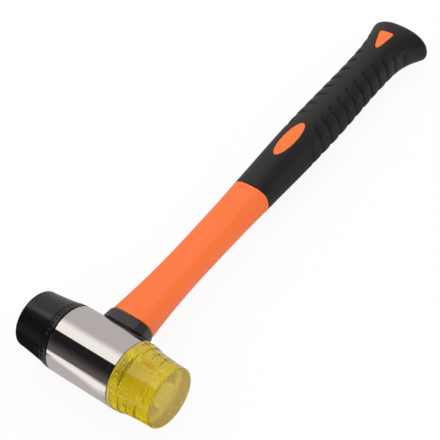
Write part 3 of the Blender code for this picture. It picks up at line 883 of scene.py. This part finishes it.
@dataclass
class Grip:
    """The soft black sleeve: palm swell, chevron notches off a smooth strip, hooked butt and inlays.

    Pairs named for the strip are left and right, and spans are shares of the grip's length.
    """

    front: float = 120.8
    length: float = 148.8
    lip: Point = (11.4, 8.9)
    palm: Point = (13.0, 11.3)
    heel_left: float = 12.6
    heel_right: float = 12.1
    heel_thick: float = 10.2
    butt_left: float = 16.8
    butt_right: float = 21.1
    butt_thick: float = 11.5
    butt_slant: float = -0.054
    slant_from: float = 0.74
    slant_run: float = 0.225
    palm_span: Point = (0.05, 0.45)
    palm_rise: float = 0.24
    heel_span: Point = (0.45, 0.72)
    heel_fall: Point = (0.25, 0.56)
    butt_rise: Point = (0.66, 0.93)
    # Where each side's flare begins, and how sharply it bends.
    flare_left: Point = (0.755, 2.25)
    flare_right: Point = (0.785, 2.9)
    flare_full: float = 0.965
    # Where the butt starts to close, and over what share.
    closing: Point = (0.945, 0.055)
    blind: float = 0.12
    lip_edge: float = 0.3
    power: float = 2.3
    bore: Point = (8.2, 5.9)
    ribs: int = 13
    rib_front: float = 23.14
    rib_back: float = 18.0
    rib_sweep: float = 4.5
    rib_bend: float = 1.9
    sweep_in: Point = (0.08, 0.25)
    sweep_out: Point = (0.80, 0.94)
    swell_depth: float = 0.36
    groove_depth: float = 0.66
    groove_half: float = 0.78
    strip: float = 3.6
    strip_flare_front: Point = (7.5, 10.5)
    strip_lead: Point = (2.0, 1.2)
    strip_front: float = 4.3
    strip_flare_back: Point = (5.5, 8.5)
    strip_back: float = 4.0
    strip_fade: float = 1.1
    around: int = 112
    inlay_aside: float = -0.4
    inlay_gap: float = 0.2
    inlay_thick: float = 1.3
    inlay_recess: float = 0.06
    inlay_edge: float = 0.15
    inlay_rim: float = 0.1
    inlay_cuts: Point = (1.1, 3.3)
    pocket_height: float = 12.0
    leaf_centre: float = 156.8
    leaf_half: Point = (4.15, 13.5)
    pick_tip: float = 244.4
    pick_length: float = 12.3
    pick_lean: float = 0.109
    pick_half: float = 4.75
    pick_aside: float = -0.65
    pick_tip_round: float = 2.0
    pick_round: float = 1.3
    # A corner's bevel, and its sharp point, for each millimetre of its rounding.
    pick_tip_reach: float = 4.3
    pick_tip_lead: float = 3.4
    pick_reach: float = 1.25

    @property
    def end(self) -> float:
        """Where the butt ends along the handle."""
        return self.front + self.length

    @property
    def pitch(self) -> float:
        """Distance from notch to notch."""
        return (self.length - self.rib_front - self.rib_back) / self.ribs

    def size(self, share: float) -> tuple[float, float, float]:
        """Return left half width, right half width and half thickness at a share of the length."""
        closing = min(1.0, max(0.0, (share - self.closing[0]) / self.closing[1]))
        close = max(0.0, 1.0 - closing ** 3.0) ** 0.4
        widths = []
        for heel, butt, (start, power) in ((self.heel_left, self.butt_left, self.flare_left),
                                           (self.heel_right, self.butt_right, self.flare_right)):
            width = self.lip[0] + (self.palm[0] - self.lip[0]) * ease(*self.palm_span, share)
            width += (heel - self.palm[0]) * ease(*self.heel_span, share)
            flare = min(1.0, max(0.0, (share - start) / (self.flare_full - start)))
            widths.append((width + (butt - heel) * flare ** power) * close)
        rise = 1.0 - max(0.0, 1.0 - share / self.palm_rise) ** 2
        thick = self.lip[1] + (self.palm[1] - self.lip[1]) * rise
        thick += (self.heel_thick - self.palm[1]) * ease(*self.heel_fall, share)
        thick += (self.butt_thick - self.heel_thick) * ease(*self.butt_rise, share)
        return widths[0], widths[1], thick * close

    def height(self, x: float, y: float) -> float:
        """Return how far the broad side stands off the handle's axis."""
        left, right, thick = self.size((y - self.front) / self.length)
        across = abs(x / (left if x < 0.0 else right))
        return thick * max(0.0, 1.0 - across ** self.power) ** (1.0 / self.power)

    def notch(self, y: float) -> float:
        """Return how deep the notches cut at a station, off the strip."""
        turns = (y - self.front - self.rib_front) / self.pitch
        if not -0.5 <= turns <= self.ribs + 0.5:
            return 0.0
        near = abs(turns - round(turns))
        groove = math.exp(-(near * self.pitch / self.groove_half) ** 2)
        return self.swell_depth * max(0.0, 1.0 - 2.0 * near) ** 2.2 + self.groove_depth * groove

    def strip_edge(self, y: float, right: bool) -> float:
        """Return the smooth strip's half width, which flares at both ends of the notches."""
        run = (y - self.front - self.rib_front) / self.pitch
        front = min(1.0, max(0.0, 1.0 - (run - self.strip_lead[right]) / self.strip_front))
        back = min(1.0, max(0.0, (run - self.ribs + self.strip_back) / self.strip_back))
        return (self.strip + self.strip_flare_front[right] * front ** 2.2
                + self.strip_flare_back[right] * back ** 1.6)

    def ring(self, y: float) -> list[Vector]:
        """Return one outer ring, swept to the chevron and notched off the strip.

        Args:
            y: The station along the handle.

        Returns:
            The ring's points.
        """
        share = (y - self.front) / self.length
        sweep = self.rib_sweep * ease(*self.sweep_in, share) * (1.0 - ease(*self.sweep_out, share))
        slant = self.butt_slant * min(1.0, max(0.0, (share - self.slant_from) / self.slant_run)) ** 2
        depth = self.notch(y)
        ring = []
        for point in oval(1.0, 1.0, self.power, 0.0, self.around):
            rise = math.asin(min(1.0, abs(point.z) ** (self.power / 2.0))) / (math.pi / 2)
            along = y + sweep * rise ** self.rib_bend
            left, right, thick = self.size((along - self.front) / self.length)
            x = point.x * (left if point.x < 0.0 else right)
            z = point.z * thick
            edge = self.strip_edge(along, x > 0.0)
            sunk = depth * ease(edge, edge + self.strip_fade, abs(x))
            keep = 1.0 - sunk / max(1.0, math.hypot(x, z))
            ring.append(Vector((x * keep, along + slant * x, z * keep)))
        return ring

    def stations(self) -> list[float]:
        """Return where the outer rings go, close together in the notches."""
        lead = self.front + self.rib_front
        values = [self.front + self.rib_front * s for s in
                  (0.008, 0.02, 0.05, 0.1, 0.17, 0.25, 0.33, 0.41, 0.49, 0.57, 0.65, 0.73, 0.8, 0.86)]
        offsets = (0.02, 0.045, 0.075, 0.11, 0.16, 0.23, 0.32, 0.42)
        for i in range(self.ribs + 1):
            values += [lead + (i + o) * self.pitch for o in [-x for x in reversed(offsets)] + [0.0, *offsets]]
        last = values[-1]
        tail = self.front + self.closing[0] * self.length
        values += [last + (tail - last) * k / 10.0 for k in range(1, 11)]
        values += [self.end - self.closing[1] * self.length * (1.0 - math.sin(math.pi / 2 * k / 14.0))
                   for k in range(1, 14)]
        return values

    def leaf_outline(self, grow: float) -> bmesh.types.BMesh:
        """Return the leaf's flat outline as one face, grown by a gap."""
        bm = bmesh.new()
        bmesh.ops.create_circle(bm, cap_ends=True, segments=64, radius=1.0)
        wide, long = (half + grow for half in self.leaf_half)
        bmesh.ops.scale(bm, vec=(wide, long, 1.0), verts=bm.verts)
        bmesh.ops.translate(bm, vec=(self.inlay_aside, self.leaf_centre, 0.0), verts=bm.verts)
        return bm

    def pick_outline(self, grow: float) -> bmesh.types.BMesh:
        """Return the pick's flat outline as one face, grown by a gap."""
        bm = bmesh.new()
        # The sharp corner stands this far before the rounded tip.
        lead = self.pick_tip_lead * self.pick_tip_round
        near = self.pick_tip - lead - self.pick_tip_reach * grow
        far = self.pick_tip + self.pick_length + grow
        wide = self.pick_half + self.pick_reach * grow
        # The pick leans a little to the left as it widens.
        swing = self.pick_lean * (far - near) / 2
        corners = [bm.verts.new((x, y, 0.0)) for x, y in
                   ((swing, near), (wide - swing, far), (-wide - swing, far))]
        bm.faces.new(corners)
        for spots, reach in (([corners[0]], self.pick_tip_reach * self.pick_tip_round),
                             (corners[1:], self.pick_reach * self.pick_round)):
            bmesh.ops.bevel(bm, geom=spots, offset=reach, segments=8, profile=0.5, affect="VERTICES",
                            material=-1)
        bmesh.ops.translate(bm, vec=(self.pick_aside, 0.0, 0.0), verts=bm.verts)
        return bm

    def pocket(self, bm: bmesh.types.BMesh, way: float) -> bmesh.types.BMesh:
        """Extrude an outline into the tool that cuts an inlay's pocket.

        Args:
            bm: The grown outline, at no height.
            way: 1 for the upper broad side and -1 for the lower.

        Returns:
            The closed tool.
        """
        floor = min(self.height(v.co.x, v.co.y) for v in bm.verts) - self.inlay_thick - self.inlay_gap
        bmesh.ops.translate(bm, vec=(0.0, 0.0, floor), verts=bm.verts)
        made = bmesh.ops.extrude_face_region(bm, geom=bm.faces[:])["geom"]
        top = [part for part in made if isinstance(part, bmesh.types.BMVert)]
        bmesh.ops.translate(bm, vec=(0.0, 0.0, self.pocket_height), verts=top)
        bmesh.ops.scale(bm, vec=(1.0, 1.0, way), verts=bm.verts)
        bmesh.ops.recalc_face_normals(bm, faces=bm.faces)
        return bm

    def inlay(self, bm: bmesh.types.BMesh, name: str, way: float) -> bpy.types.Object:
        """Extrude an outline into an inlay crowned to the grip's surface.

        Args:
            bm: The outline, at no height.
            name: The CAD node that it replaces.
            way: 1 for the upper broad side and -1 for the lower.

        Returns:
            The finished inlay.
        """
        floor = min(self.height(v.co.x, v.co.y) for v in bm.verts) - self.inlay_thick
        centre = sum(v.co.y for v in bm.verts) / len(bm.verts)
        bmesh.ops.translate(bm, vec=(0.0, 0.0, floor), verts=bm.verts)
        made = bmesh.ops.extrude_face_region(bm, geom=bm.faces[:])["geom"]
        top = [part for part in made if isinstance(part, bmesh.types.BMFace)]
        bmesh.ops.translate(bm, vec=(0.0, 0.0, self.inlay_thick), verts=top[0].verts)
        rim = set(top[0].verts)
        bmesh.ops.inset_region(bm, faces=top, thickness=self.inlay_edge, use_even_offset=True)
        # Cuts across the face let it follow the grip's crown.
        across, down = self.inlay_cuts
        for i in range(-3, 4):
            for place, way_in in (((self.inlay_aside + across * i, 0.0, 0.0), (1.0, 0.0, 0.0)),
                                  ((0.0, centre + down * i, 0.0), (0.0, 1.0, 0.0))):
                bmesh.ops.bisect_plane(bm, geom=bm.verts[:] + bm.edges[:] + bm.faces[:], dist=0.0001,
                                       plane_co=place, plane_no=way_in)
        for vert in bm.verts:
            if vert.co.z > floor + self.inlay_thick / 2:
                sunk = self.inlay_recess + (self.inlay_rim if vert in rim else 0.0)
                vert.co.z = self.height(vert.co.x, vert.co.y) - sunk
        bmesh.ops.scale(bm, vec=(1.0, 1.0, way), verts=bm.verts)
        piece = settle(bm, "orange_" + name, INLAY, 35.0)
        return ride(piece, Body.MALLET, name, name)

    def build(self) -> bpy.types.Object:
        """Loft the sleeve, cut the pockets and lay the inlays.

        Returns:
            The finished sleeve.
        """
        inner_end = self.end - self.blind * self.length
        rings = [oval(*self.bore, 2.5, y, self.around) for y in (inner_end, self.front)]
        rings.append(oval(self.lip[0] - self.lip_edge, self.lip[1] - self.lip_edge, self.power, self.front,
                          self.around))
        rings += [self.ring(y) for y in self.stations()]
        sleeve = settle(loft(rings), "soft_grip", GRIP_RUBBER, 40.0)
        outlines = (("leaf", self.leaf_outline), ("pick", self.pick_outline))
        sides = (("top", 1.0), ("bottom", -1.0))
        tools = [self.pocket(make(self.inlay_gap), way) for _, make in outlines for _, way in sides]
        carve(sleeve, tools, 40.0)
        for shape, make in outlines:
            for label, way in sides:
                self.inlay(make(0.0), f"grip_{shape}_{label}", way)
        return ride(sleeve, Body.MALLET, "grip_sleeve", "grip_sleeve")


@dataclass
class InnerParts:
    """The pieces inside the head and handle, which keep their CAD shape."""

    finishes: tuple[tuple[str, Finish], ...] = (
        ("eye_block", IRON), ("eye_bond", RESIN), ("black_end_plug", PLUG_STEEL),
        ("yellow_end_plug", PALE_NYLON), ("black_shot", SHOT_STEEL), ("yellow_shot", SHOT_STEEL),
        ("black_face_insert", BRASS), ("handle_core", FIBRE))

    def dress(self) -> None:
        """Give each inner node its own finish."""
        for name, finish in self.finishes:
            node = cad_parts[name]
            node.data.materials.clear()
            node.data.materials.append(finish.material())
            LOG.info("%s keeps its CAD shape, in %s", name, finish.label)


@dataclass
class Studio:
    """The white floor, the soft light and the camera."""

    azimuth: float = 44.886
    elevation: float = 47.75
    roll: float = -10.088
    offset: tuple[float, float, float] = (-56.177, 64.493, 527.874)
    focal_px: float = 1120.0
    frame_px: float = 440.0
    sensor: float = 36.0
    clip: float = 0.01
    bounces: int = 24
    floor_half: float = 6.0
    floor_gap: float = 0.0003
    floor_glow: float = 0.92
    soft_level: float = 0.97
    key_watts: float = 1.0
    key_size: float = 0.9
    key_place: tuple[float, float, float] = (-0.25, 0.1, 0.9)
    # How much of the white surround, and of the floor's white, shows through clear plastic.
    clear_white: float = 0.96
    clear_floor: float = 0.52
    # Mirrors and gloss see a pale card behind the head, up to this angle over it, and dark ones before it.
    # The edge leans away to the left, is this soft in radians, and the pale card fades out to the right.
    card_edge: float = 110.2
    card_lean: float = 20.0
    lean_span: Point = (-0.65, -0.55)
    card_soft: float = 0.014
    fade_span: Point = (0.05, -0.47)
    # The pale card turns from grey to white between these angles.
    pale_span: Point = (65.0, 84.0)
    card_white: str = "#faf5ef"
    grey_card_and_floor_shade: str = "#b9b3b3"
    dark_cards: tuple[tuple[float, str], ...] = (
        (0.0, "#6a6666"), (180.0, "#605755"), (48.0, "#7c7777"), (57.0, "#403e3e"), (84.0, "#2a282a"),
        (112.0, "#1d1b1e"), (137.0, "#1d1b1e"), (145.0, "#2b2929"), (151.0, "#383535"), (157.0, "#454140"),
        (163.0, "#524c4a"), (169.0, "#5c5451"))
    # Cards lying on the table that only mirrors and gloss see: x, y, radius and soft edge in metres, and
    # colour. The ones under the faces are painted shade and painted yellow light. A later one lies over an
    # earlier one.
    floor_cards_with_painted_light: tuple[tuple[float, float, float, float, str], ...] = (
        (1.798, -2.569, 3.0, 0.008, "#faf5ef"),      # before the head
        (0.0530, -0.252, 0.080, 0.004, "#8a8484"),   # before the clear face
        (0.020, 0.235, 0.065, 0.020, "#faf5ef"),     # behind the butt
        (0.055, 0.059, 0.075, 0.025, "#7e7a7a"),     # beside the grip
        # The dark card right below the dark face is painted shade, where the face's shadow falls.
        (-0.0683, -0.141, 0.032, 0.003, "#2a2828"),  # below the dark face
        (-0.160, -0.178, 0.100, 0.003, "#2a2828"),   # before the dark face
        (-0.312, -0.330, 0.140, 0.006, "#2a2828"),   # beyond that
        (-0.620, -0.580, 0.285, 0.010, "#2a2828"),   # further out
        (-1.260, -1.000, 0.620, 0.020, "#2a2828"),   # and towards the horizon
        (0.350, -1.000, 0.750, 0.020, "#4c4634"),    # towards the horizon before the clear face
        (0.105, -0.235, 0.120, 0.010, "#4c4634"),    # nearer to it
        (0.060, -0.178, 0.054, 0.008, "#66604e"),    # and nearer again
        # The next two are painted light: the yellow light that the clear face throws on the floor.
        (0.037, -0.145, 0.021, 0.011, "#bda11a"),    # the yellow light that the clear face throws
        (0.064, -0.112, 0.029, 0.009, "#e6daaa"))    # under the clear striking face

    def camera(self) -> None:
        """Set the camera where the photograph was taken from."""
        a, e, r = (math.radians(v) for v in (self.azimuth, self.elevation, self.roll))
        back = Vector((math.sin(a) * math.cos(e), -math.cos(a) * math.cos(e), math.sin(e)))
        right = Vector((math.cos(a), math.sin(a), 0.0))
        down = -back.cross(right)
        across = math.cos(r) * right - math.sin(r) * down
        under = math.sin(r) * right + math.cos(r) * down
        place = -(across * self.offset[0] + under * self.offset[1] - back * self.offset[2])
        pose = Matrix((across, -under, back)).transposed().to_4x4()
        pose.translation = place * MM
        data = bpy.data.cameras.new("photo_camera")
        data.sensor_width = self.sensor
        data.lens = self.focal_px / self.frame_px * self.sensor
        data.clip_start = self.clip
        item = bpy.data.objects.new("photo_camera", data)
        bpy.context.scene.collection.objects.link(item)
        item.matrix_world = LYING @ pose
        bpy.context.scene.camera = item

    def floor(self) -> None:
        """Lay a white floor that keeps a faint shadow, and that mirrors see painted with shade and light."""
        bm = bmesh.new()
        bmesh.ops.create_grid(bm, x_segments=1, y_segments=1, size=self.floor_half)
        bmesh.ops.translate(bm, vec=(0.0, 0.0, -self.floor_gap), verts=bm.verts)
        mesh = bpy.data.meshes.new("floor")
        bm.to_mesh(mesh)
        bm.free()
        paper = bpy.data.materials.new("white_paper")
        paper.use_nodes = True
        tree = paper.node_tree
        tree.nodes.remove(tree.nodes["Principled BSDF"])
        matt = add(tree, "BsdfDiffuse", {"Color": linear("#fafafa")})
        glow = add(tree, "Emission", {"Color": (1.0, 1.0, 1.0, 1.0), "Strength": 1.0})
        path = add(tree, "LightPath").outputs
        through = add(tree, "Math", {0: path["Is Transmission Ray"], 1: self.clear_floor},
                      operation="MULTIPLY")
        seen = add(tree, "Math", {0: path["Is Camera Ray"], 1: through.outputs[0]}, operation="MAXIMUM")
        gloss = add(tree, "Math", {0: path["Is Glossy Ray"], 1: path["Is Transmission Ray"]},
                    operation="SUBTRACT", use_clamp=True)
        part = add(tree, "Math", {0: seen.outputs[0], 1: self.floor_glow}, operation="MULTIPLY")
        spot = add(tree, "TexCoord").outputs["Object"]
        # Mirrors see the floor as an emitting picture: grey as painted shade round and under the head, with
        # the cards laid over it.
        painted_floor_reflection = linear(self.grey_card_and_floor_shade)
        for x, y, radius, soft, code in self.floor_cards_with_painted_light:
            away = add(tree, "VectorMath", {0: spot, 1: (x, y, 0.0)}, operation="DISTANCE").outputs["Value"]
            off = add(tree, "MapRange", {"Value": away, "From Min": radius - soft, "From Max": radius + soft})
            painted_floor_reflection = add(tree, "Mix", {0: off.outputs[0], 6: linear(code), 7: painted_floor_reflection},
                            data_type="RGBA").outputs[2]
        card = add(tree, "Emission", {"Color": painted_floor_reflection, "Strength": 1.0})
        # A refracted ray counts as glossy too, but through the clear face the floor itself is seen.
        mirror = add(tree, "MixShader", {0: gloss.outputs[0], 1: matt.outputs[0], 2: card.outputs[0]})
        mixed = add(tree, "MixShader", {0: part.outputs[0], 1: mirror.outputs[0], 2: glow.outputs[0]})
        tree.links.new(mixed.outputs[0], tree.nodes["Material Output"].inputs["Surface"])
        mesh.materials.append(paper)
        item = bpy.data.objects.new("floor", mesh)
        bpy.context.scene.collection.objects.link(item)

    def light(self) -> None:
        """Hang a soft lamp and surround the table with a pale studio."""
        lamp = bpy.data.lights.new("softbox", "AREA")
        lamp.shape = "DISK"
        lamp.size = self.key_size
        lamp.energy = self.key_watts
        item = bpy.data.objects.new("softbox", lamp)
        item.location = self.key_place
        item.rotation_euler = (-item.location).to_track_quat("-Z", "Y").to_euler()
        item.visible_glossy = False
        item.visible_transmission = False
        bpy.context.scene.collection.objects.link(item)
        world = bpy.data.worlds.new("studio")
        world.use_nodes = True
        bpy.context.scene.world = world
        tree = world.node_tree
        tree.nodes.remove(tree.nodes["Background"])
        way = add(tree, "SeparateXYZ", {0: add(tree, "TexCoord").outputs["Generated"]}).outputs
        angle = add(tree, "Math", {0: way["Z"], 1: way["Y"]}, operation="ARCTAN2").outputs[0]
        share = add(tree, "MapRange", {"Value": angle, "From Min": 0.0, "From Max": math.pi}).outputs[0]
        white, grey = linear(self.card_white), linear(self.grey_card_and_floor_shade)
        turn, full = (degrees / 180.0 for degrees in self.pale_span)
        pale = add(tree, "ValToRGB", {0: share},
                   stops=((0.0, grey), (1.0, white), (turn, grey), (full, white))).outputs[0]
        dark = add(tree, "ValToRGB", {0: share}, stops=tuple(
            (degrees / 180.0, linear(code)) for degrees, code in self.dark_cards)).outputs[0]
        edge = add(tree, "MapRange", {"Value": way["X"], "From Min": self.lean_span[0],
                                      "From Max": self.lean_span[1],
                                      "To Min": math.radians(self.card_edge - self.card_lean),
                                      "To Max": math.radians(self.card_edge)}).outputs[0]
        past = add(tree, "Math", {0: angle, 1: edge}, operation="SUBTRACT").outputs[0]
        ahead = add(tree, "MapRange", {"Value": past, "From Min": self.card_soft,
                                       "From Max": -self.card_soft}).outputs[0]
        aside = add(tree, "MapRange", {"Value": way["X"], "From Min": self.fade_span[0],
                                       "From Max": self.fade_span[1]}).outputs[0]
        lit = add(tree, "Math", {0: ahead, 1: aside}, operation="MULTIPLY").outputs[0]
        view = add(tree, "Mix", {0: lit, 6: dark, 7: pale}, data_type="RGBA").outputs[2]
        mirror = add(tree, "Background", {"Color": view, "Strength": 1.0})
        soft = add(tree, "Background", {"Color": linear("#fffdfa"), "Strength": self.soft_level})
        plain = add(tree, "Background", {"Color": (1.0, 1.0, 1.0, 1.0), "Strength": 1.0})
        path = add(tree, "LightPath").outputs
        through = add(tree, "Math", {0: path["Is Transmission Ray"], 1: self.clear_white},
                      operation="MULTIPLY")
        seen = add(tree, "Math", {0: path["Is Camera Ray"], 1: through.outputs[0]}, operation="MAXIMUM")
        first = add(tree, "MixShader", {0: path["Is Glossy Ray"], 1: soft.outputs[0], 2: mirror.outputs[0]})
        second = add(tree, "MixShader", {0: seen.outputs[0], 1: first.outputs[0], 2: plain.outputs[0]})
        tree.links.new(second.outputs[0], tree.nodes["World Output"].inputs["Surface"])

    def build(self) -> None:
        """Set up the camera, the floor and the light."""
        bpy.context.scene.view_settings.view_transform = "Standard"
        # Light needs many turns to find its way out of the clear face.
        for kind in ("max_bounces", "glossy_bounces", "transmission_bounces"):
            setattr(bpy.context.scene.cycles, kind, self.bounces)
        self.camera()
        self.floor()
        self.light()
        LOG.info("studio set, camera at azimuth %.1f and elevation %.1f", self.azimuth, self.elevation)


def main() -> None:
    """Build every sub-assembly in order."""
    logging.basicConfig(level=logging.INFO, format="%(name)s: %(message)s")
    Studio().build()
    HeadTube().build()
    ThreadedStud(Side.BLACK, ZINC).build()
    ThreadedStud(Side.YELLOW, BRIGHT_ZINC, radius=5.9, root=5.35, tip=29.6, chamfer=1.5).build()
    ScrewFace(Side.YELLOW, AMBER, flange=17.495, barrel=0.027, crown=5.75, foot=(6.35, 16.41),
              nose=(23.2, 15.34), sweep=1.7, bore=(15.2, 6.4), notch_depth=0.2, groove=0.0, drop=0.3).build()
    ScrewFace(Side.BLACK, FACE_RUBBER, flange=17.45, barrel=0.04, crown=3.9, foot=(4.6, 16.8),
              nose=(22.6, 14.96), sweep=1.3, bore=(16.9, 8.3), notch_depth=0.18).build()
    Collar().build()
    Shaft().build()
    Grip().build()
    InnerParts().dress()


if __name__ == "__main__":
    main()
